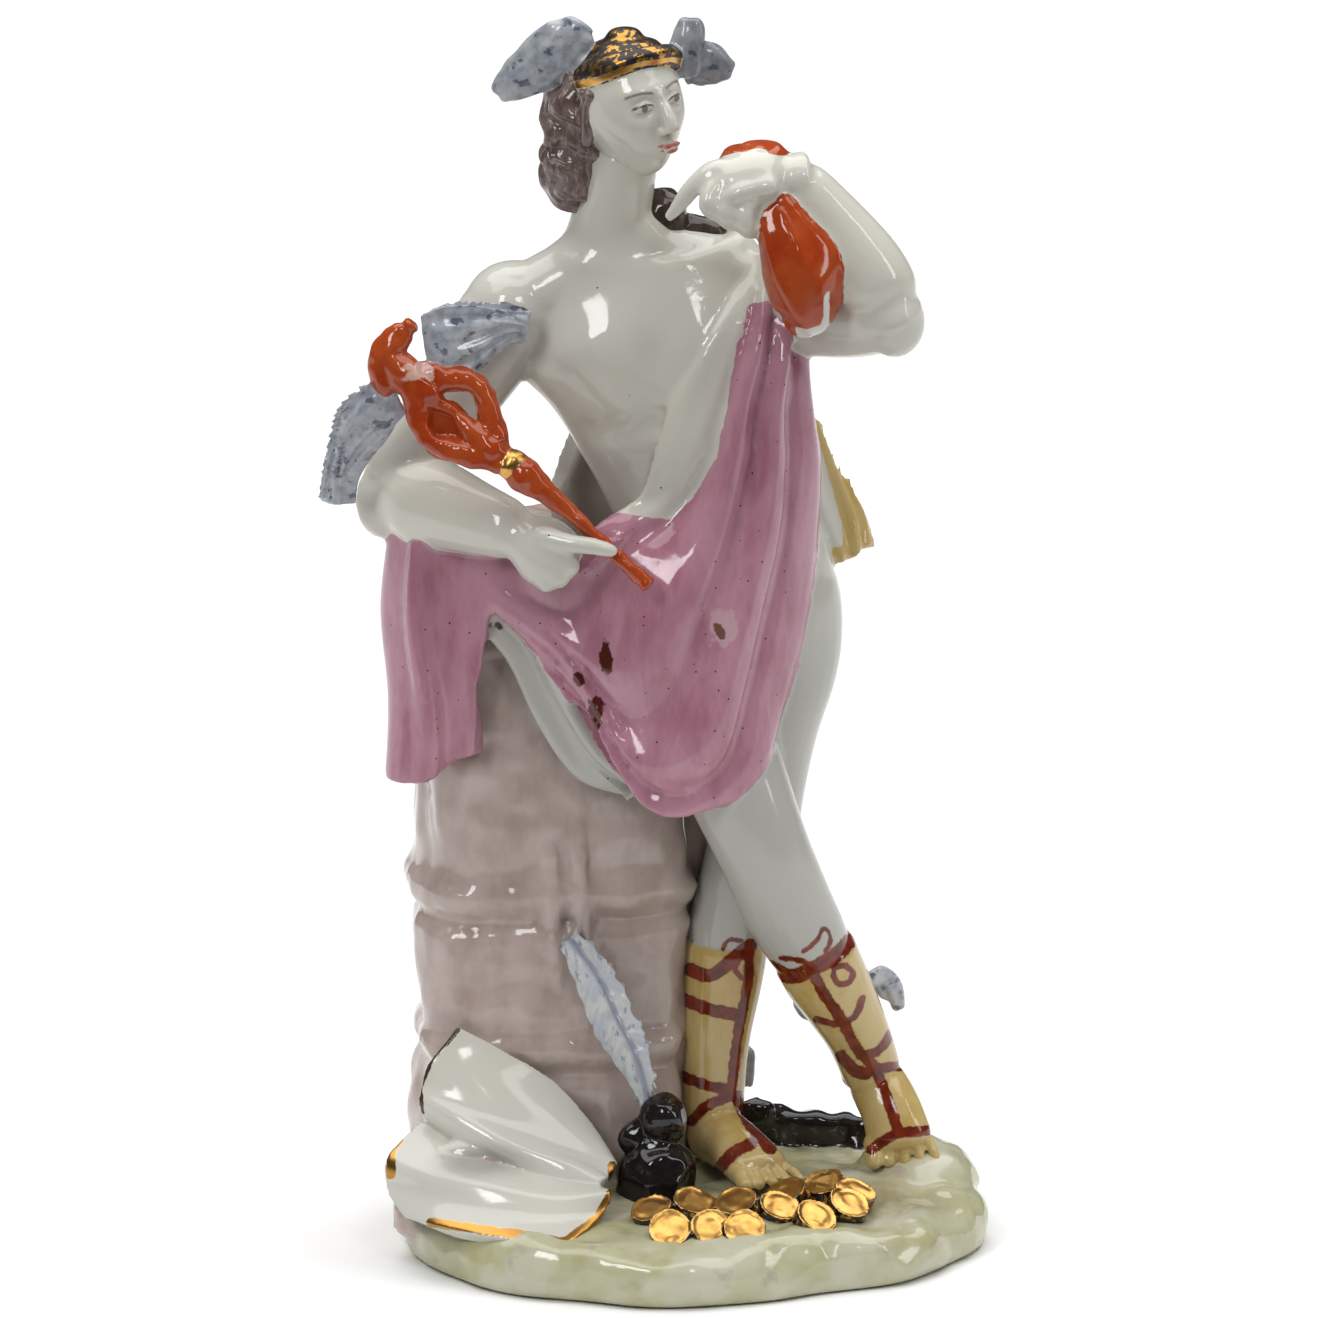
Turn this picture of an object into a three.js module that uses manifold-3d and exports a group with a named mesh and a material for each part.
// Porcelain figurine of Mercury leaning on a corded bale, about 150 mm high.
// Millimetres, +Z up, the figure faces -Y. The origin is the centre of the base's flat underside.
import * as THREE from 'three';
import { mergeVertices } from 'three/addons/utils/BufferGeometryUtils.js';
import Module from 'manifold-3d';

// Driving dimensions
const BASE_HALF_WIDTH = 34.7;
const BASE_HALF_DEPTH = 28;
const BASE_TOP = 7.6;
const BALE_WIDTH = 30.6;
const BALE_DEPTH = 22;
const BALE_BOTTOM = 4;
const BALE_TOP = 84;
const BALE_CENTRE = [-16.4, 11.1];
const BALE_TURN = THREE.MathUtils.degToRad(8.5);
const HEAD_CENTRE = [-6.9, 0.3, 137.6];
const HEAD_YAW = THREE.MathUtils.degToRad(36);
const HEAD_ROLL = THREE.MathUtils.degToRad(-8);
const HEAD_NOD = THREE.MathUtils.degToRad(-7);
const COIN_RADIUS = 2.5;
const COIN_THICKNESS = 1.1;
const LEAF_THICKNESS = 2.2;
const MANTLE_THICKNESS = 3.4;
const QUILL_THICKNESS = 1.7;

const X_AXIS = new THREE.Vector3(1, 0, 0);
const Y_AXIS = new THREE.Vector3(0, 1, 0);
const Z_AXIS = new THREE.Vector3(0, 0, 1);
const FORWARD = new THREE.Vector3(0, -1, 0);

const wasm = await Module();
wasm.setup();

// A closed geometry becomes a solid, with its faces turned outwards
function solidOf(geometry) {
  const bare = geometry.clone();
  bare.deleteAttribute('normal');
  bare.deleteAttribute('uv');
  const merged = mergeVertices(bare, 1e-4);
  const triVerts = new Uint32Array(merged.index.array);
  const vertProperties = new Float32Array(merged.attributes.position.array);
  if (signedVolume(vertProperties, triVerts) < 0) {
    for (let i = 0; i < triVerts.length; i += 3) {
      [triVerts[i], triVerts[i + 1]] = [triVerts[i + 1], triVerts[i]];
    }
  }
  return new wasm.Manifold(new wasm.Mesh({ numProp: 3, vertProperties, triVerts }));
}

function signedVolume(points, triangles) {
  const at = (i) => new THREE.Vector3().fromArray(points, 3 * i);
  let sum = 0;
  for (let i = 0; i < triangles.length; i += 3) {
    const [a, b, c] = [at(triangles[i]), at(triangles[i + 1]), at(triangles[i + 2])];
    sum += a.dot(b.cross(c)) / 6;
  }
  return sum;
}

const bump = (value, centre, width) => Math.exp(-(((value - centre) / width) ** 2));

// A rounded limb along stations of [x, y, z, half width, half depth]. The side vector gives the
// direction of the half width. The relief adds height at an angle round the limb and a place along
// it. Levels, where given, are the places of the rings.
function limb(stations, {
  side = X_AXIS, around = 8, along = 5, cap = 1, square = 1, flat = false, levels = null, relief = null,
} = {}) {
  const path = new THREE.CatmullRomCurve3(stations.map((s) => new THREE.Vector3(s[0], s[1], s[2])));
  const sizes = new THREE.CatmullRomCurve3(stations.map((s) => new THREE.Vector3(s[3], s[4], 0)));
  const rings = along + 2 * cap;
  const geometry = new THREE.SphereGeometry(1, around, rings);
  const position = geometry.attributes.position;
  for (let i = 0; i < position.count; i += 1) {
    const ring = Math.floor(i / (around + 1));
    const angle = (2 * Math.PI * (i % (around + 1))) / around;
    const step = THREE.MathUtils.clamp(ring - cap, 0, along);
    const reach = levels ? levels[step] : step / along;
    const centre = path.getPoint(reach);
    const tangent = path.getTangent(reach);
    const size = sizes.getPoint(reach);
    let shrink = 1;
    let push = 0;
    const outside = ring < cap ? cap - ring : Math.max(0, ring - cap - along);
    if (outside > 0) {
      const turn = (Math.PI / 2) * (outside / cap);
      shrink = outside === cap ? 0 : Math.cos(turn);
      push = flat ? 0 : Math.sin(turn) * Math.min(size.x, size.y) * (ring < cap ? -1 : 1);
    }
    const wide = side.clone().addScaledVector(tangent, -side.dot(tangent)).normalize();
    const deep = tangent.clone().cross(wide);
    const cosine = Math.sign(Math.cos(angle)) * Math.abs(Math.cos(angle)) ** square;
    const sine = Math.sign(Math.sin(angle)) * Math.abs(Math.sin(angle)) ** square;
    const extra = relief ? relief(angle, reach) : 0;
    const point = centre.addScaledVector(tangent, push);
    point.addScaledVector(wide, (size.x + extra) * shrink * cosine);
    point.addScaledVector(deep, (size.y + extra) * shrink * sine);
    position.setXYZ(i, point.x, point.y, point.z);
  }
  return solidOf(geometry);
}

// A thick sheet over cross-lines of points: 'along' steps from line to line, 'across' steps on each
// line. The front, which looks the way of 'facing', follows the lines with the relief added, and the
// back lies a thickness behind it.
function sheet(lines, {
  along = 8, across = 6, thickness = 2, relief = null, edge = 0.35, facing = FORWARD,
} = {}) {
  const rows = lines.map((line) => new THREE.CatmullRomCurve3(line.map((p) => new THREE.Vector3(...p))));
  const surface = (u, v) => {
    const column = new THREE.CatmullRomCurve3(rows.map((row) => row.getPoint(v)));
    return column.getPoint(u);
  };
  const small = 0.01;
  const normalAt = (u, v) => {
    const [u0, u1] = [Math.max(0, u - small), Math.min(1, u + small)];
    const [v0, v1] = [Math.max(0, v - small), Math.min(1, v + small)];
    const du = surface(u1, v).sub(surface(u0, v));
    const dv = surface(u, v1).sub(surface(u, v0));
    return du.cross(dv).normalize();
  };
  const sign = Math.sign(normalAt(0.5, 0.5).dot(facing));
  const geometry = new THREE.BoxGeometry(1, 1, 1, along, across, 1);
  const position = geometry.attributes.position;
  for (let i = 0; i < position.count; i += 1) {
    const u = position.getX(i) + 0.5;
    const v = position.getY(i) + 0.5;
    const front = position.getZ(i) > 0;
    const normal = normalAt(u, v);
    const rim = Math.min(u * along, (1 - u) * along, v * across, (1 - v) * across) < 0.5;
    const lift = relief ? relief(u, v) : 0;
    const inset = rim ? edge * thickness : 0;
    const height = front ? lift - inset : -thickness + inset;
    const point = surface(u, v).addScaledVector(normal, sign * height);
    position.setXYZ(i, point.x, point.y, point.z);
  }
  return solidOf(geometry);
}

// A round-ended ball with three half axes, turned about its centre
function ball([x, y, z], [a, b, c], { around = 10, rings = 8, turn = [0, 0, 0] } = {}) {
  const geometry = new THREE.SphereGeometry(1, around, rings);
  geometry.rotateX(Math.PI / 2);
  geometry.scale(a, b, c);
  geometry.applyMatrix4(new THREE.Matrix4().makeRotationFromEuler(new THREE.Euler(...turn)));
  geometry.translate(x, y, z);
  return solidOf(geometry);
}

const unite = (solids) => solids.reduce((whole, solid) => whole.add(solid));

// A solid turned about Z from a profile of [radius, height]
function turned(profile, around) {
  const geometry = new THREE.LatheGeometry(profile.map(([r, h]) => new THREE.Vector2(r, h)), around);
  return geometry.rotateX(Math.PI / 2);
}

// Base: an uneven oval mound with a flat underside. The profile gives shares of the half widths.
const BASE_PROFILE = [
  [0, 0], [0.94, 0], [1, 1.8], [0.99, 4.6], [0.93, 6.4], [0.8, 7.2], [0.4, BASE_TOP], [0, BASE_TOP],
];
const LEVEL_MIDDLE = 0.3;

function makeBase() {
  const geometry = turned(BASE_PROFILE, 24);
  const position = geometry.attributes.position;
  for (let i = 0; i < position.count; i += 1) {
    const angle = Math.atan2(position.getY(i), position.getX(i));
    const waves = 0.018 * Math.sin(3 * angle + 1) + 0.014 * Math.sin(7 * angle);
    const ripple = 0.01 * Math.sin(11 * angle + 2);
    const uneven = 1 + waves + ripple - 0.05 * bump(angle, -0.85, 0.45);
    const height = position.getZ(i);
    const wave = height > 1 ? 0.35 * Math.sin(5 * angle + height) : 0;
    position.setXYZ(
      i,
      position.getX(i) * BASE_HALF_WIDTH * uneven,
      position.getY(i) * BASE_HALF_DEPTH * uneven,
      height + (Math.hypot(position.getX(i), position.getY(i)) > LEVEL_MIDDLE ? wave : 0),
    );
  }
  const rocks = [
    ball([-31, -4.5, 5.4], [3.6, 5, 4], { around: 6, rings: 5 }),
    ball([26.6, 9, 5.4], [7.4, 9.6, 5], { around: 8, rings: 5 }),
    ball([-14, 21, 5.6], [14, 5.6, 4.6], { around: 8, rings: 5 }),
  ];
  return unite([solidOf(geometry), ...rocks]);
}

// Bale: a corded pack with rounded corners, drawn in and swollen by its cords
function baleRelief(angle, height) {
  const cords = 0.9 * bump(height, 42, 1.6) + 0.7 * bump(height, 23.4, 1.3) + 0.3 * bump(height, 36.6, 1.2);
  const hollows = 0.8 * bump(height, 39, 1) + 0.35 * bump(height, 45, 1.2) + 0.6 * bump(height, 20.6, 1.1);
  const crease = 0.5 * bump(height, 60.8, 1.4) + 0.4 * bump(height, 26.2, 1);
  const swell = 0.5 * Math.sin(height * 0.21 + 2 * angle);
  return cords - hollows - crease + swell;
}

// Heights of the pack's rings, close together at its cords and creases
const BALE_RINGS = [4, 19, 21, 23.4, 25.4, 31, 36.6, 39, 42, 45, 52, 58.4, 60.8, 63.2, 84];

// Upright cords down the front: each [height, step to the right, step forward]
const CORD_RUN = [[61, 0, -0.5], [52, 0.3, -0.2], [44, 0.6, 0], [36, 1, -0.4], [24, 1.6, -0.5]];
const CORD_PLACES = [-16.7, -13.3];
const CORD_RADIUS = 0.9;

function makeBale() {
  const [x, y] = BALE_CENTRE;
  const reach = BALE_TOP - BALE_BOTTOM;
  const levels = BALE_RINGS.map((height) => (height - BALE_BOTTOM) / reach);
  const stations = [0, 0.25, 0.5, 0.75, 1].map((t) => (
    [x, y, BALE_BOTTOM + t * reach, BALE_WIDTH / 2, BALE_DEPTH / 2]
  ));
  const pack = limb(stations, {
    side: new THREE.Vector3(Math.cos(BALE_TURN), Math.sin(BALE_TURN), 0),
    around: 12,
    along: levels.length - 1,
    square: 0.45,
    flat: true,
    levels,
    relief: (angle, t) => baleRelief(angle, BALE_BOTTOM + t * reach),
  });
  const cords = CORD_PLACES.map((cordX) => {
    const front = y - BALE_DEPTH / 2 + (cordX - x) * Math.tan(BALE_TURN);
    const run = CORD_RUN.map(([height, right, forward]) => (
      [cordX + right, front - forward, height, CORD_RADIUS, CORD_RADIUS]
    ));
    return limb(run, { around: 5, along: 4 });
  });
  const corner = ball([-0.6, 12.4, 43], [3.4, 3.6, 9.4], { around: 7, rings: 6 });
  return unite([pack, corner, ...cords]);
}

// Body: stations of [x, y, z, half width, half depth]
const TORSO = [
  [4.4, 4.6, 71, 10.5, 8], [4.8, 4.6, 78, 12.4, 8.4], [3.8, 4, 84, 11.5, 7.9], [1.2, 3.4, 90, 10.4, 7.2],
  [-1, 3, 98, 12, 7.9], [-3.2, 3, 106, 14.2, 8.6], [-5.6, 3.2, 112, 16, 7.8], [-8, 3.4, 117, 13.4, 6],
  [-8.6, 3.4, 120.8, 7, 5], [-8.8, 3, 124.2, 4.7, 4.6], [-7.7, 1.6, 131, 4.2, 4.4],
];
const RIGHT_SLOPE = [[-8.2, 2.8, 124.2, 4.2, 4.4], [-11.4, 3, 118.4, 3.9, 4.4], [-17.4, 3.2, 113.8, 4.6, 5]];
const LEFT_SLOPE = [[-8.2, 2.6, 123.4, 4.2, 4.4], [-3.4, 3, 118.8, 4, 4.4], [5.2, 3, 116, 5, 5.2]];
const LEFT_LEG = [
  [7.6, 4.6, 85, 6, 6], [9.4, 5, 78, 8.2, 8.2], [9.6, 5, 70, 8.1, 8], [8.8, 5.6, 62, 6.5, 7],
  [8.2, 6.6, 54, 5.4, 5.8], [7.4, 7.8, 47, 5.2, 5.4], [5.6, 9, 40, 4.9, 5.2], [4.3, 9.2, 33, 4.4, 4.6],
];
const RIGHT_LEG = [
  [-1, 2.2, 83, 6, 6], [-1.5, 1.6, 77, 8, 7.6], [1.4, -0.6, 68, 7.4, 7.3], [5, -2.8, 58, 6.3, 6.3],
  [8.4, -3.4, 49.5, 5.5, 5.4], [10.9, -2, 43, 5.4, 5.2], [13.6, 0.4, 37, 4.8, 4.8],
  [14.6, 1.4, 34.6, 4.4, 4.4],
];
const LEFT_BOOT = [
  [4.4, 9.1, 35, 5.1, 5.2], [4, 9.1, 30, 4.7, 4.9], [3.1, 8.7, 22, 3.9, 4.1], [2.7, 8.4, 14, 3.7, 4.3],
];
const RIGHT_BOOT = [
  [13.9, 0.6, 36.3, 5.3, 5.3], [16.8, 3.8, 30, 4.7, 4.8], [19.5, 7.1, 24, 3.9, 4.1],
  [21.4, 9.5, 18.5, 3.5, 4],
];
const LEFT_FOOT = [
  [1.1, 11, 10.8, 2.9, 3.1], [3.2, 7, 11.5, 3.4, 3.7], [6, 1.5, 11, 3.6, 3.1], [8.4, -3, 9.9, 3.8, 2.3],
  [10, -6.2, 9.2, 3.3, 1.5],
];
const RIGHT_FOOT = [
  [20.5, 12, 17.8, 2.8, 2.9], [22, 9.6, 17, 3.4, 3.6], [23.7, 7, 14.4, 3.6, 3.2], [24.8, 5, 10.8, 3.9, 2.6],
  [25.3, 3.6, 8.9, 3.8, 1.8],
];
const RIGHT_ARM = [
  [-15.5, 3.2, 113.4, 5.2, 5.2], [-20.4, 3.2, 112, 6, 5.8], [-24.4, 3, 106, 5.4, 5.2],
  [-29, 2.6, 99, 4.7, 4.6], [-33.6, 2.4, 92.4, 4.9, 4.8],
];
const RIGHT_FOREARM = [
  [-34.4, 2.2, 90, 5.4, 5.3], [-30, -1.2, 90.2, 5.4, 5], [-25, -5, 89.4, 4.4, 4], [-20.6, -8, 88.6, 3.6, 3.2],
];
const RIGHT_PALM = [[-21, -7.8, 88.5, 3.5, 3.3], [-17.6, -9.8, 87, 3.4, 4.3], [-14.8, -11, 85.6, 2.9, 3.8]];
const LEFT_ARM = [
  [8.4, 3.6, 113.4, 6, 5.9], [14, 0, 113.2, 5.7, 5.6], [19.4, -4.6, 113.6, 5.1, 5.1],
  [23, -7.8, 115, 4.8, 4.8],
];
const LEFT_FOREARM = [
  [23, -8, 115.2, 4.6, 4.7], [20.6, -8.2, 119.8, 4.7, 4.8], [16.9, -8.2, 124.9, 4.1, 4],
  [12.9, -8.3, 129.9, 3.4, 3.2],
];
const LEFT_PALM = [[12.2, -8.4, 130.8, 3.2, 3.2], [8.4, -9, 130.9, 4.2, 3.9], [4.2, -9.6, 130.1, 3.7, 3.4]];

function makeTorso() {
  const chestRelief = (angle, t) => {
    const front = Math.max(0, -Math.sin(angle));
    const across = Math.cos(angle);
    const breast = 0.9 * bump(t, 0.55, 0.07) * (bump(across, 0.5, 0.35) + bump(across, -0.5, 0.35));
    const middle = -0.5 * bump(across, 0, 0.12) * bump(t, 0.45, 0.25);
    return front * (breast + middle);
  };
  return unite([
    limb(TORSO, { around: 12, along: 10, flat: true, relief: chestRelief }),
    limb(RIGHT_SLOPE, { around: 7, along: 3 }),
    limb(LEFT_SLOPE, { around: 7, along: 3 }),
    ball([-20.4, 3.2, 112.2], [6, 5.9, 5.8], { around: 8, rings: 6 }),
  ]);
}

function makeLegs() {
  const toes = (angle, t) => 0.3 * Math.max(0, t - 0.7) * Math.cos(7 * angle);
  return unite([
    limb(LEFT_LEG, { along: 6, flat: true }),
    limb(RIGHT_LEG, { along: 6, flat: true }),
    limb(LEFT_BOOT, { along: 3, flat: true }),
    limb(RIGHT_BOOT, { along: 3, flat: true }),
    limb(LEFT_FOOT, { along: 4, relief: toes }),
    limb(RIGHT_FOOT, { along: 4, relief: toes }),
  ]);
}

// Fingers are short limbs of one thickness, from knuckle to tip
const FINGER_TAPER = 0.16;

function finger(points, thick) {
  const stations = points.map(([x, y, z], i) => {
    const half = thick * (1 - FINGER_TAPER * i);
    return [x, y, z, half, half];
  });
  return limb(stations, { side: Y_AXIS, around: 5, along: 2 });
}

function makeArms() {
  const knuckles = (angle, t) => 0.3 * Math.cos(6 * Math.PI * t);
  const rightFist = [
    [-14.4, -11.6, 86.6, 1.8, 1.8], [-14.4, -11.8, 84.9, 2, 1.8], [-15.8, -11.4, 83.4, 1.8, 1.6],
  ];
  const leftFist = [
    [2.8, -11.6, 128, 1.9, 2.2], [5.2, -11.9, 127.4, 2.1, 2.5], [7.8, -11.4, 126.6, 1.9, 2.3],
  ];
  return unite([
    limb(RIGHT_ARM, { along: 4 }),
    limb(RIGHT_FOREARM, { side: Z_AXIS, along: 4 }),
    limb(RIGHT_PALM, { side: Y_AXIS, along: 2 }),
    limb(LEFT_ARM, { side: Z_AXIS, along: 3 }),
    limb(LEFT_FOREARM, { along: 4 }),
    ball([23.8, -8, 113.6], [3.6, 3.8, 4.2], { around: 7, rings: 5 }),
    limb(LEFT_PALM, { side: Y_AXIS, along: 3 }),
    limb(rightFist, { around: 6, along: 6, relief: knuckles }),
    limb(leftFist, { side: Z_AXIS, around: 6, along: 6, relief: knuckles }),
    finger([[-17.4, -11.6, 88.9], [-14.4, -13.2, 88.5], [-10.6, -13.9, 88.1], [-8.9, -14, 87.7]], 1.5),
    finger([[4, -10.2, 132.4], [0.9, -10.7, 131], [-1, -10.8, 128.5], [-2.4, -10.6, 126.8]], 1.6),
    finger([[9.4, -12.2, 131], [6.4, -13, 130.6], [4, -12.8, 129.4]], 1.4),
  ]);
}

// Head: made in its own frame, face to -y, then turned and set on the neck
const HEAD_TURN = new THREE.Matrix4()
  .makeRotationFromEuler(new THREE.Euler(HEAD_NOD, HEAD_ROLL, HEAD_YAW, 'ZYX'))
  .setPosition(...HEAD_CENTRE);
const SKULL_HALF_WIDTH = 5.9;
const FACE_DEPTH = 7;
const SKULL_DEPTH = 7.6;
const CROWN_HEIGHT = 7.6;
const CHIN_DROP = 8.7;
const NOSE = [[0, -6.6, 1, 0.7, 0.7], [0, -7.7, -1.2, 0.9, 0.9], [0, -8.2, -2.4, 1.1, 1.1]];
const HAIR = [
  [-0.5, 4.4, 3.2, 5.6, 4], [-0.7, 4.6, 1.6, 6.8, 4.4], [-1.2, 5, -0.6, 7.2, 4.5],
  [-1.5, 5.4, -2.6, 7.2, 4.4], [-1.7, 5.8, -4.3, 6.8, 4.1], [-2.1, 6.1, -6.2, 7.4, 4.2],
  [-2.1, 6.5, -8, 6.9, 3.9], [-1.5, 6.8, -9.8, 4.9, 3.1], [-0.7, 7, -11.2, 2.9, 2],
];
const CAP = [
  [0, 0.3, 2.7, 6.1, 7.6], [0, 0.3, 3.6, 6.3, 7.8], [0, 0.4, 4.6, 6.2, 7.6], [0, 0.5, 5.6, 5.6, 6.8],
  [0, 0.6, 6.6, 4.4, 4.9], [0, 0.6, 7.5, 3.5, 3.8],
];
const CAP_TILT_DEGREES = -12.6;

function makeHead() {
  const skull = new THREE.SphereGeometry(1, 12, 9);
  skull.rotateX(Math.PI / 2);
  const position = skull.attributes.position;
  for (let i = 0; i < position.count; i += 1) {
    const [x, y, z] = [position.getX(i), position.getY(i), position.getZ(i)];
    const jaw = z < 0 ? 1 - 0.34 * (-z) ** 1.5 : 1;
    const depth = (y < 0 ? FACE_DEPTH : SKULL_DEPTH) * (z < 0 ? 1 - 0.1 * z * z : 1);
    const eyes = bump(x, 0.36, 0.22) + bump(x, -0.36, 0.22);
    const socket = 0.9 * Math.max(0, -y) * bump(z, 0.06, 0.13) * eyes;
    const height = z * (z < 0 ? CHIN_DROP : CROWN_HEIGHT);
    position.setXYZ(i, x * SKULL_HALF_WIDTH * jaw, y * depth + socket, height);
  }
  const waves = (angle, t) => 0.4 * Math.sin(5 * angle + 4 * t);
  const head = unite([
    solidOf(skull),
    limb(NOSE, { around: 6, along: 3 }),
    ball([0, -6.1, -4.6], [1.7, 1.2, 0.75], { around: 6, rings: 5 }),
    ball([0, -5.5, -7], [1.9, 1.6, 1.5], { around: 6, rings: 5 }),
    limb(HAIR, { around: 9, along: 7, relief: waves }),
    limb(CAP, { around: 10, along: 5 }).rotate([CAP_TILT_DEGREES, 0, 0]),
  ]);
  const curls = [
    ball([-3, 3.4, 123.6], [2.9, 2.8, 3.2], { around: 7, rings: 5 }),
    ball([0.8, 4.4, 120.8], [3.6, 2.2, 2.4], { around: 7, rings: 5 }),
  ];
  return unite([head.transform(HEAD_TURN.elements), ...curls]);
}

// Wings: flat rounded lobes with long feathers raised along them
const FEATHER_HEIGHT = 0.22;

function plume(stations, side) {
  const relief = (angle, t) => FEATHER_HEIGHT * Math.cos(3 * angle) * Math.min(1, 3 * t);
  return limb(stations, { side, around: 8, along: 4, relief });
}

function makeHelmetWings() {
  const left = [
    [-12.6, 0.8, 146.8, 1.9, 0.9], [-13.8, 0.8, 145.2, 3.3, 1.2], [-16.3, 1.2, 142.7, 3.6, 1.25],
    [-19.4, 1.9, 140.4, 2.7, 1.1], [-22, 2.5, 138.4, 1.5, 0.9],
  ];
  const upright = [
    [-0.9, 1, 141.2, 1.9, 1], [-0.5, 1.2, 143.4, 2, 1.1], [0, 1.6, 145.6, 1.85, 1.05],
    [0.1, 1.9, 147, 1.5, 0.9],
  ];
  const hanging = [
    [-0.4, 1.8, 141.4, 2.4, 1], [1.2, 2.1, 141.9, 2.8, 1.15], [2.6, 2.3, 141.8, 2.6, 1.15],
    [3.8, 2.5, 141.3, 2, 1.05], [4.6, 2.6, 141, 1.3, 0.9],
  ];
  return unite([
    plume(left, new THREE.Vector3(-0.67, 0, 0.74)),
    ball([-11.8, 1, 142], [1.9, 1.4, 2.6], { around: 7, rings: 5 }),
    plume(upright, X_AXIS),
    plume(hanging, Z_AXIS),
  ]);
}

// Caduceus: tapered shaft, two twined snakes that part into rings, a knob, a crest and two wings.
// Runs are [share of the staff, place across it, radius].
const STAFF_END = new THREE.Vector3(-5, -13.6, 83.8);
const STAFF_TOP = new THREE.Vector3(-34.7, -8.4, 110.6);
const STAFF_ACROSS = new THREE.Vector3(0.69, 0.1, 0.72);
const SHAFT = [[0, 0, 1.1], [0.12, 0, 0.9], [0.3, 0, 1], [0.4, -0.2, 1.5], [0.485, -0.4, 2.1]];
const CORE = [
  [0.52, -0.5, 1.6], [0.6, -0.8, 2], [0.66, -0.9, 1.6], [0.73, -0.5, 0.75], [0.79, -0.9, 1],
  [0.84, -1, 2], [0.92, -1.1, 2.2], [0.98, -0.9, 1.7],
];
const LOW_SNAKE = [
  [0.55, -1.4, 1.4], [0.61, -2.6, 1.6], [0.67, -3.9, 1.35], [0.72, -4.8, 1.15], [0.77, -4.7, 1.15],
  [0.81, -3.6, 1.4], [0.86, -1.9, 1.7], [0.91, -0.8, 1.7],
];
const HIGH_SNAKE = [
  [0.55, -0.2, 1.4], [0.61, 0.8, 1.6], [0.66, 2.1, 1.45], [0.7, 3.2, 1.35], [0.745, 3.6, 1.3],
  [0.79, 2.8, 1.45], [0.83, 1.4, 1.6], [0.88, 0.2, 1.7],
];
const CREST = [
  [-31.9, -8.4, 113.2, 0.8, 0.9], [-34.1, -8.4, 110.9, 1.7, 1.5], [-35.3, -8.4, 109.4, 1.9, 1.6],
  [-36, -8.5, 107.6, 1.7, 1.5], [-35.6, -8.6, 106, 1.3, 1.3],
];
const STAFF_WING_RIGHT = [
  [[-30.3, -8.8, 108], [-30.9, -8.9, 111.4], [-31.2, -8.6, 114.4]],
  [[-28.2, -9, 106.6], [-28.7, -9.3, 111.6], [-28.6, -8.8, 115.7]],
  [[-25, -8.4, 108.6], [-25, -8.5, 112.2], [-24.8, -8, 115.7]],
  [[-21.5, -7, 111.3], [-21.3, -7.2, 113], [-20.9, -7, 114.5]],
  [[-18.8, -6, 111.9], [-18.7, -6.1, 112.5], [-18.6, -6, 113]],
];
const STAFF_WING_LEFT = [
  [[-32.8, -8.8, 102.8], [-33.8, -9, 105], [-34.6, -8.8, 107.4]],
  [[-35, -8.6, 100.6], [-36.7, -9.2, 103.4], [-37.8, -8.6, 106]],
  [[-37.8, -7.8, 97.9], [-39.6, -8.2, 100.2], [-40.8, -7.8, 102.4]],
  [[-39.9, -6.8, 94.6], [-40.8, -7, 96.2], [-41.5, -6.8, 97.8]],
  [[-40.3, -6, 91], [-41.2, -6.1, 91.2], [-42, -6, 91.6]],
];
const STAFF_WING_THICKNESS = 1.7;

function makeCaduceus() {
  const axis = STAFF_TOP.clone().sub(STAFF_END);
  const direction = axis.clone().normalize();
  const across = STAFF_ACROSS.clone().addScaledVector(direction, -direction.dot(STAFF_ACROSS)).normalize();
  const at = (t, wide) => STAFF_END.clone().addScaledVector(axis, t).addScaledVector(across, wide).toArray();
  const rod = (run, around, along) => {
    const stations = run.map(([t, wide, radius]) => [...at(t, wide), radius, radius]);
    return limb(stations, { side: Z_AXIS, around, along });
  };
  const feathers = (u, v) => FEATHER_HEIGHT * Math.cos(3 * Math.PI * v) * Math.min(1, 3 * u);
  return unite([
    rod(SHAFT, 6, 5),
    rod(CORE, 5, 6),
    rod(LOW_SNAKE, 5, 7),
    rod(HIGH_SNAKE, 5, 7),
    limb(CREST, { side: Z_AXIS, around: 6, along: 5 }),
    ball(at(0.625, -0.9), [2.5, 1.4, 2.5], { around: 7, rings: 5 }),
    ball(at(0.515, -0.4), [1.9, 1.9, 1.9], { around: 7, rings: 5 }),
    sheet(STAFF_WING_RIGHT, { along: 5, across: 3, thickness: STAFF_WING_THICKNESS, relief: feathers }),
    sheet(STAFF_WING_LEFT, { along: 5, across: 3, thickness: STAFF_WING_THICKNESS, relief: feathers }),
  ]);
}

// Purse: a limp faceted bag held by its gathered neck, with the flat knot above the fist
const BAG = [
  [10.4, -10.6, 128.6, 2.2, 2], [11.2, -11.4, 125.2, 3.65, 3.1], [12.8, -11.8, 121.5, 4.8, 3.9],
  [13.3, -11.8, 118.9, 4.6, 3.8], [13.6, -11.4, 115.8, 3.8, 3.3], [13, -11, 114, 2.4, 2.2],
];

function makePurse() {
  return unite([
    limb(BAG, { around: 6, along: 5 }),
    ball([7.4, -7.7, 133.2], [4.3, 3.3, 1.7], { around: 9, rings: 6, turn: [0.1, -0.12, 0] }),
  ]);
}

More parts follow.
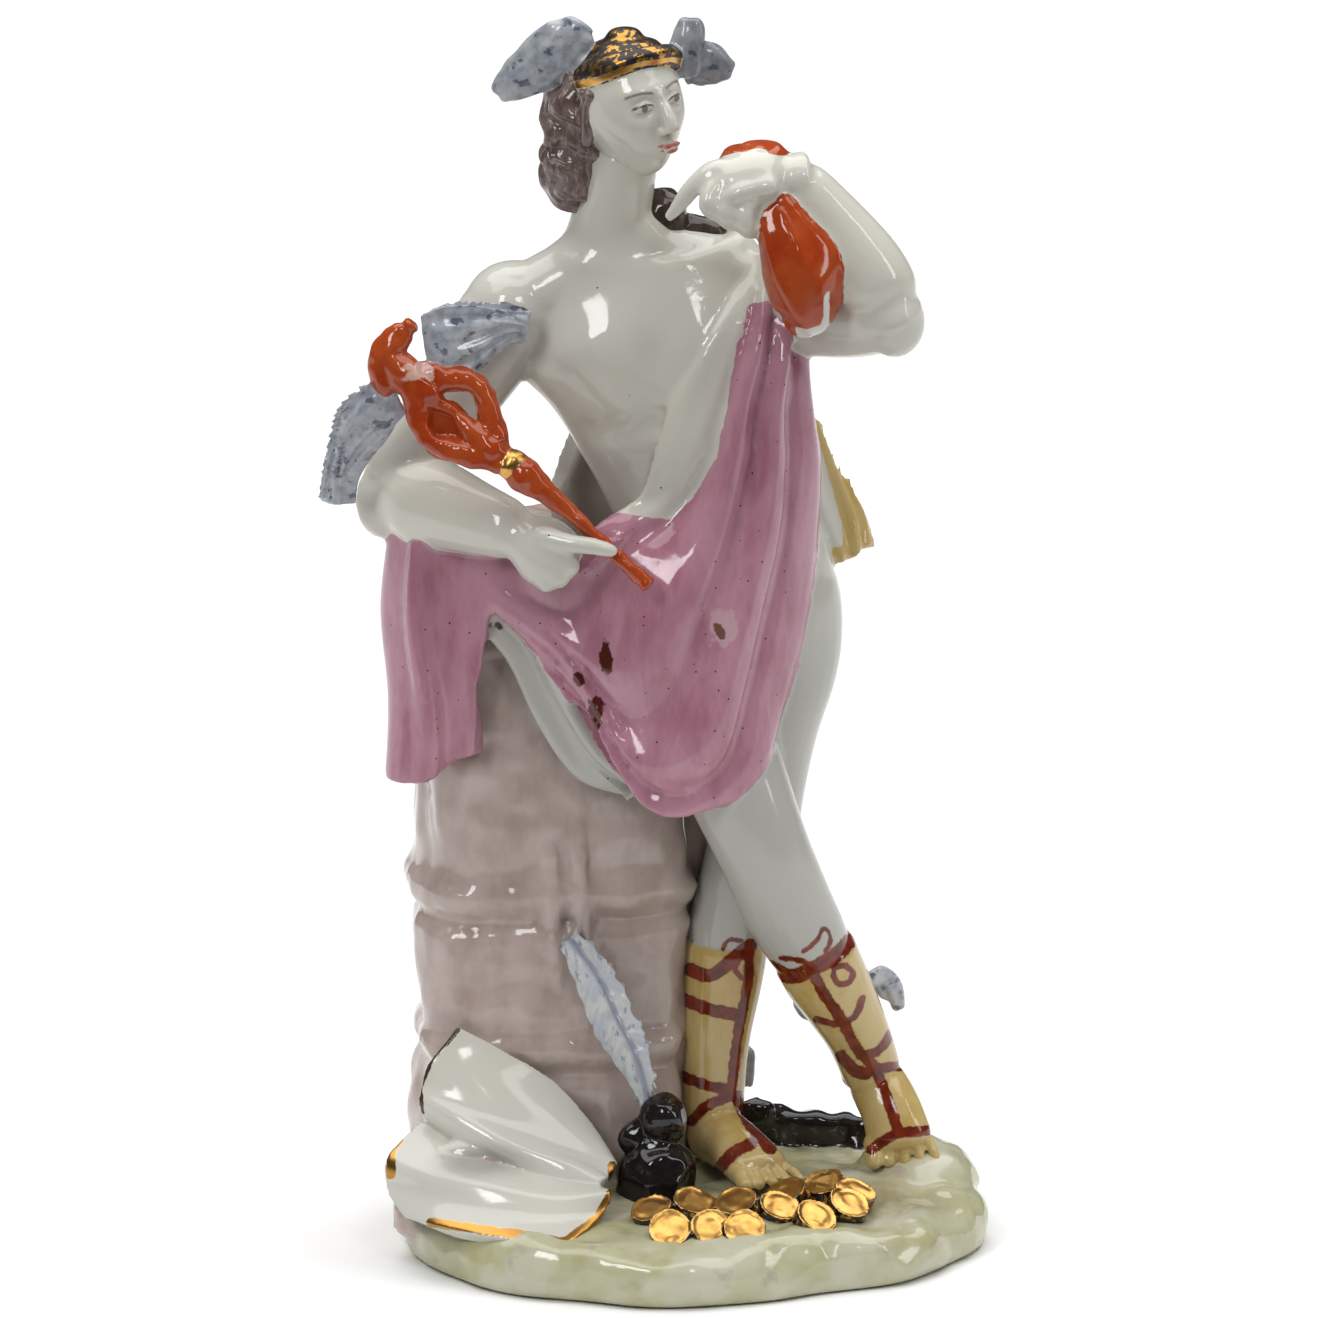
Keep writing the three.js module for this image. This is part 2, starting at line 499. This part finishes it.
// Cloak: the mantle runs from the left shoulder down the side, round the hips and up to the bale.
// Each line goes from its inner edge to its outer edge.
const MANTLE = [
  [[6.4, 1.5, 119.5], [8.2, 0.5, 120], [10, 0.6, 120], [12, 1.4, 118.6], [13.4, 4, 115.6]],
  [[4.6, -3, 114.4], [7.4, -4, 115.2], [9.5, -4.5, 114.2], [11.8, -2.6, 112.2], [13.6, 1.6, 109.6]],
  [[1.3, -5.4, 109.2], [5.6, -6.6, 110], [8.9, -7, 109.4], [12, -4.8, 107.6], [14, 2, 105.2]],
  [[-2, -5.8, 104.3], [3.2, -7, 102.9], [7.7, -7.5, 103.2], [12, -5.4, 102], [14.9, 3, 98.5]],
  [[-4, -5.6, 98.1], [1.3, -6.8, 97], [7.1, -7.5, 96.5], [12.1, -6, 95.5], [15.6, 4, 92.2]],
  [[-5.7, -5, 92.3], [-1.1, -6.4, 92.8], [5.4, -8, 90], [11.4, -6.5, 87.1], [15.4, 5, 82.8]],
  [[-7.8, -5, 90.5], [-4.3, -7, 89.8], [3, -9, 83.6], [9.7, -8, 79.1], [14.4, 3, 73.6]],
  [[-9.7, -6, 89.4], [-7.5, -8, 88.2], [0.1, -10.5, 78.5], [7.3, -10, 69.9], [11, 0, 64.8]],
  [[-11.3, -7, 88], [-9.8, -8.5, 86.6], [-2.8, -11, 73.8], [4.2, -11.5, 61.8], [8.1, -5, 57.9]],
  [[-13.3, -7, 86.6], [-12.2, -8, 84.6], [-6, -10.5, 71.3], [-1.1, -11.5, 58.2], [1.3, -8.6, 55.3]],
  [[-15.7, -6, 86], [-14.9, -7, 83.2], [-9.2, -9.4, 70.8], [-5.5, -10.6, 59.1], [-3.2, -9.2, 55]],
  [[-18, -5, 85.6], [-17.4, -6, 82.4], [-12.8, -8, 73.5], [-9, -9.4, 64.2], [-7.8, -8.8, 59.3]],
  [[-20.9, -4.4, 85.4], [-20.6, -5, 83.1], [-17.4, -6.4, 77.3], [-15.1, -7.4, 73.3], [-13.3, -7.4, 69.1]],
  [[-25, -4, 85.2], [-25, -4.6, 84], [-24.4, -5, 81.8], [-23.8, -5, 79.3], [-23.2, -4.8, 78]],
];
const LINING = [
  [[-26.8, -2.4, 84.4], [-26.8, -3.6, 77.6], [-26.6, -3, 70.6]],
  [[-19.8, -4, 81], [-20.9, -4.2, 73], [-22.6, -2.2, 65.4]],
  [[-14.6, -5.4, 74], [-16, -5.2, 67.4], [-17.4, -2, 61]],
  [[-9.6, -5.4, 64], [-10.6, -5.6, 60], [-11.8, -2, 55.6]],
  [[-5.4, -5.6, 57.4], [-5, -5.6, 55.4], [-4, -1, 53]],
];
const HANGING_END = [
  [[-31, 12, 87], [-34.2, 5, 86.4], [-33.4, -2.6, 87], [-29.6, -4, 87.2], [-22, -4.6, 86.4]],
  [[-33, 12, 77], [-35.4, 5, 77], [-33.8, -4.4, 77], [-29.8, -5.6, 77.4], [-23.2, -4.2, 76]],
  [[-33, 12, 67], [-35, 5, 67], [-33.2, -4.6, 67.4], [-29.6, -5.6, 68], [-24.8, -4.4, 67.6]],
  [[-33, 12, 58], [-35.6, 5, 57.6], [-33.8, -4.4, 57], [-30, -5.2, 57.8], [-25.4, -4.2, 60.6]],
];
const BACK = [
  [[13, 4, 117.4], [10, 8, 118.6], [6, 9.6, 117.4], [3, 9.4, 115]],
  [[13.4, 5, 104], [10.6, 11.4, 106], [2, 13, 105], [-9.4, 10.6, 104]],
  [[14, 6.6, 92], [11.4, 12.6, 93], [-1, 13.6, 93], [-15.2, 9, 94]],
  [[14, 8, 80], [11.6, 14.4, 80], [-1, 16, 81], [-16.4, 11, 85]],
  [[12.6, 8.6, 68], [10.4, 15.4, 67], [0, 16.6, 68], [-12, 15.4, 70]],
  [[10.4, 9, 59], [8.4, 15.4, 57.6], [0, 16, 58], [-10, 16, 60]],
];
const HIP_FLAP = [
  [[14, 6, 98], [14.6, 7.6, 98], [15, 9, 97.4]],
  [[14.4, 6, 92], [16.6, 8.4, 92.6], [17.6, 10.4, 92]],
  [[15.4, 6, 86], [18.6, 8.6, 86.2], [20.2, 10.6, 86]],
  [[17.4, 6.6, 80.6], [19.2, 7.8, 81], [20.8, 9.4, 82]],
];

// Folds of the mantle: [place across the cloth at the shoulder, and at the bale, height, width]
const MANTLE_FOLDS = [
  [0.25, 0.42, -0.9, 0.07], [0.42, 0.5, 0.9, 0.07], [0.55, 0.62, -1, 0.06],
  [0.66, 0.7, 1, 0.07], [0.77, 0.8, -1, 0.06], [0.88, 0.9, 0.9, 0.07],
];

function mantleRelief(u, v) {
  const ends = Math.min(1, 8 * u, 5 * (1 - u));
  const folds = MANTLE_FOLDS.map(([start, end, height, width]) => (
    height * bump(v, start + (end - start) * u * u, width)
  ));
  return ends * folds.reduce((sum, fold) => sum + fold);
}

// Pleats along a sheet: so many across it, that drift sideways from its first line to its last
const pleats = (count, drift = 0) => (u, v) => 0.5 * Math.sin(2 * Math.PI * (count * v + drift * u));

function makeCloak() {
  return unite([
    sheet(MANTLE, { along: 14, across: 12, thickness: MANTLE_THICKNESS, relief: mantleRelief }),
    sheet(LINING, { along: 4, across: 4, thickness: 3, relief: pleats(2.3, 0.5) }),
    sheet(HANGING_END, { along: 2, across: 8, thickness: 2.4, relief: pleats(3.3) }),
    sheet(BACK, { along: 3, thickness: MANTLE_THICKNESS, relief: pleats(2.6, 0.4), facing: Y_AXIS }),
    sheet(HIP_FLAP, { along: 3, across: 3, thickness: 2.4, relief: pleats(2.2) }),
  ]);
}

// Ledger: two thick bent leaves that meet in a gutter, the upper one leaning on the bale
const UPPER_LEAF = [
  [[-26.9, -2.6, 27.2], [-30.4, -3.4, 22.6], [-31.2, -5, 17.6], [-34.4, -6.4, 12.6]],
  [[-21.8, -2.4, 24.4], [-25, -5, 20.6], [-26.4, -8.6, 15.6], [-29.6, -9.6, 12.4]],
  [[-15.6, -2.2, 20.4], [-18, -6, 17.4], [-20, -10.6, 14], [-22.6, -12, 12]],
  [[-11, -3.6, 15.4], [-12, -7, 14], [-13.4, -10.4, 12.4], [-16, -13, 11.4]],
  [[-8.4, -7, 12], [-8.8, -9, 11.6], [-9.8, -11.4, 11], [-11.4, -13.6, 10.6]],
];
const LOWER_LEAF = [
  [[-34.6, -5.6, 13], [-35, -7, 10.4], [-33.8, -9.6, 8.4], [-32, -11.6, 7.4]],
  [[-30, -7.6, 13.4], [-29.4, -10.4, 11.8], [-28.6, -13.4, 8.8], [-27.8, -15.4, 7.2]],
  [[-23.6, -9.6, 13], [-22.6, -12.6, 11.4], [-21.6, -16.6, 8.6], [-20.8, -19, 7]],
  [[-16.6, -11.4, 12], [-15.6, -14.6, 10.6], [-14.8, -18, 8.4], [-14.4, -20.4, 7]],
  [[-9.4, -12.4, 10.8], [-9.2, -14, 10], [-10, -16, 8.4], [-11.6, -18.4, 7.2]],
];

function makeLedger() {
  const upperPage = (u, v) => 0.7 * bump(v, 0.3, 0.2) - 2 * bump(v, 1.03, 0.18) * (1 - 0.5 * u);
  const lowerPage = (u, v) => bump(v, 0.4, 0.2) - 2.2 * bump(v, -0.02, 0.18) * (1 - 0.5 * u);
  return unite([
    sheet(UPPER_LEAF, { along: 5, across: 5, thickness: LEAF_THICKNESS, relief: upperPage }),
    sheet(LOWER_LEAF, { along: 5, across: 5, thickness: LEAF_THICKNESS, relief: lowerPage }),
    ball([-22, -6, 10], [9, 6, 6], { around: 8, rings: 5 }),
  ]);
}

// Inkwell: a wide foot, a waist and a head with a spout beside it, and the quill that leans from it
const INKWELL_FOOT = [
  [0, 4], [3.4, 4], [4.2, 6.6], [4.65, 9.4], [4.3, 12], [3.2, 13.6], [0, 14],
];
const QUILL = [
  [[-4.9, -4.8, 17.6], [-4.5, -5, 17.8], [-4.1, -4.8, 18]],
  [[-8.9, -3.2, 23.2], [-6.8, -4.6, 24.2], [-4.6, -3.8, 25.4]],
  [[-11.1, -2.6, 26.4], [-8.8, -4, 28], [-6.5, -3.2, 29.6]],
  [[-13.1, -2, 31.6], [-11, -3.4, 33], [-8.8, -2.6, 34.4]],
  [[-14.9, -1.6, 36.4], [-14.2, -2.4, 37.6], [-13, -2, 38.8]],
];

function makeInkwell() {
  const foot = turned(INKWELL_FOOT, 8);
  foot.translate(-3.8, -5.2, 0);
  return unite([
    solidOf(foot),
    ball([-3, -5.2, 16.6], [2.8, 2.8, 3.2], { around: 8, rings: 6 }),
    ball([-6, -5, 14.4], [2, 2, 2.8], { around: 7, rings: 5, turn: [0, 0.25, 0] }),
    sheet(QUILL, { along: 6, across: 2, thickness: QUILL_THICKNESS, edge: 0.3 }),
  ]);
}

// Coins scattered before the feet, each [x, y, z, tilt about x, tilt about y]
const COINS = [
  [-2.1, -17.6, 7, 0.5, -0.2], [2.6, -15.4, 7.4, 0.3, 0.4], [6.4, -17.6, 7, 0.5, 0.1],
  [-3.4, -12, 8, 0.2, -0.3], [-0.2, -11, 8.6, 0.3, 0.2], [5.7, -12, 8.4, 0.4, -0.3],
  [10.8, -13, 7.9, 0.3, 0.5], [14.4, -14.6, 7.4, 0.4, 0.3], [18, -10.6, 7.8, 0.3, 0.5],
  [18.4, -6.6, 8.4, 0.2, 0.3], [14.6, -6, 8.4, 0.3, -0.2], [11.4, -8.6, 8.4, 0.3, -0.4],
];

function makeCoins() {
  return unite(COINS.map(([x, y, z, tiltX, tiltY]) => {
    const geometry = new THREE.CylinderGeometry(COIN_RADIUS, COIN_RADIUS, 2 * COIN_THICKNESS, 6);
    geometry.rotateX(Math.PI / 2);
    geometry.applyMatrix4(new THREE.Matrix4().makeRotationFromEuler(new THREE.Euler(tiltX, tiltY, 0)));
    geometry.translate(x, y, z - COIN_THICKNESS / 2);
    return solidOf(geometry);
  }));
}

// Dark fallen trunk behind the feet, and the wings at the boots
const TRUNK = [
  [5, 17, 9.8, 2.6, 2.4], [10, 18, 9.6, 2.4, 2.4], [15, 18.6, 8.9, 2.3, 2.3], [21, 17.6, 8.4, 2.1, 2],
];
const OUTER_BOOT_WING = [
  [20.4, 8.4, 29.6, 1.1, 0.7], [22, 10, 29.8, 1.6, 0.8], [23.3, 11.4, 28.5, 1.7, 0.8],
  [24.2, 12.2, 26.6, 1.1, 0.7], [24.5, 12.6, 25.4, 0.7, 0.6],
];
const INNER_BOOT_WING = [
  [13.2, 7, 29, 1.1, 0.7], [13.6, 8.4, 27.2, 1.5, 0.8], [14.8, 9.6, 25.2, 1.2, 0.7],
  [15.8, 10.2, 24, 0.7, 0.6],
];
const LOW_BOOT_WING = [
  [5.8, 11.6, 21, 1, 0.7], [6.4, 12.4, 19.4, 1.5, 0.8], [6.6, 12.8, 17.4, 1.2, 0.8],
  [6.8, 13, 16, 0.8, 0.7],
];

function makeRear() {
  const knots = (angle, t) => 0.3 * Math.sin(3 * angle + 9 * t);
  const bootWing = (stations, side) => limb(stations, { side, around: 6, along: 3 });
  const slant = new THREE.Vector3(0.7, 0, 0.7);
  return unite([
    limb(TRUNK, { side: Z_AXIS, around: 7, along: 4, relief: knots }),
    ball([7.8, 15.8, 11.4], [2.7, 1.7, 2], { around: 7, rings: 5 }),
    bootWing(OUTER_BOOT_WING, slant),
    bootWing(INNER_BOOT_WING, slant),
    bootWing(LOW_BOOT_WING, X_AXIS),
  ]);
}

// Facets and slivers flatter than this are merged
const FACET_TOLERANCE = 0.25;

// The outer skin alone: the small sealed pockets between joined forms are filled with clay
function outerSkin(triangles, pointCount) {
  const lead = Array.from({ length: pointCount }, (_, i) => i);
  const leadOf = (i) => {
    let at = i;
    while (lead[at] !== at) {
      lead[at] = lead[lead[at]];
      at = lead[at];
    }
    return at;
  };
  for (let i = 0; i < triangles.length; i += 3) {
    lead[leadOf(triangles[i])] = leadOf(triangles[i + 1]);
    lead[leadOf(triangles[i + 1])] = leadOf(triangles[i + 2]);
  }
  const sizes = new Map();
  triangles.forEach((i) => sizes.set(leadOf(i), (sizes.get(leadOf(i)) ?? 0) + 1));
  const largest = [...sizes].reduce((best, entry) => (entry[1] > best[1] ? entry : best))[0];
  return triangles.filter((_, i) => leadOf(triangles[i - (i % 3)]) === largest);
}

function geometryOf(solid) {
  const mesh = solid.getMesh();
  const geometry = new THREE.BufferGeometry();
  geometry.setAttribute('position', new THREE.BufferAttribute(mesh.vertProperties, 3));
  const skin = outerSkin(mesh.triVerts, mesh.vertProperties.length / 3);
  geometry.setIndex(new THREE.BufferAttribute(skin, 1));
  geometry.computeVertexNormals();
  return geometry;
}

const porcelain = new THREE.MeshStandardMaterial({ color: 0xd8dcd0, roughness: 0.12, metalness: 0 });
const forms = unite([
  makeBase(), makeBale(), makeTorso(), makeLegs(), makeArms(), makeHead(), makeHelmetWings(),
  makeCaduceus(), makePurse(), makeCloak(), makeLedger(), makeInkwell(), makeCoins(), makeRear(),
]);
const whole = forms.simplify(FACET_TOLERANCE);
const figurine = new THREE.Mesh(geometryOf(whole), porcelain);
figurine.name = 'mercury_figurine';

const part = new THREE.Group();
part.add(figurine);
export default part;
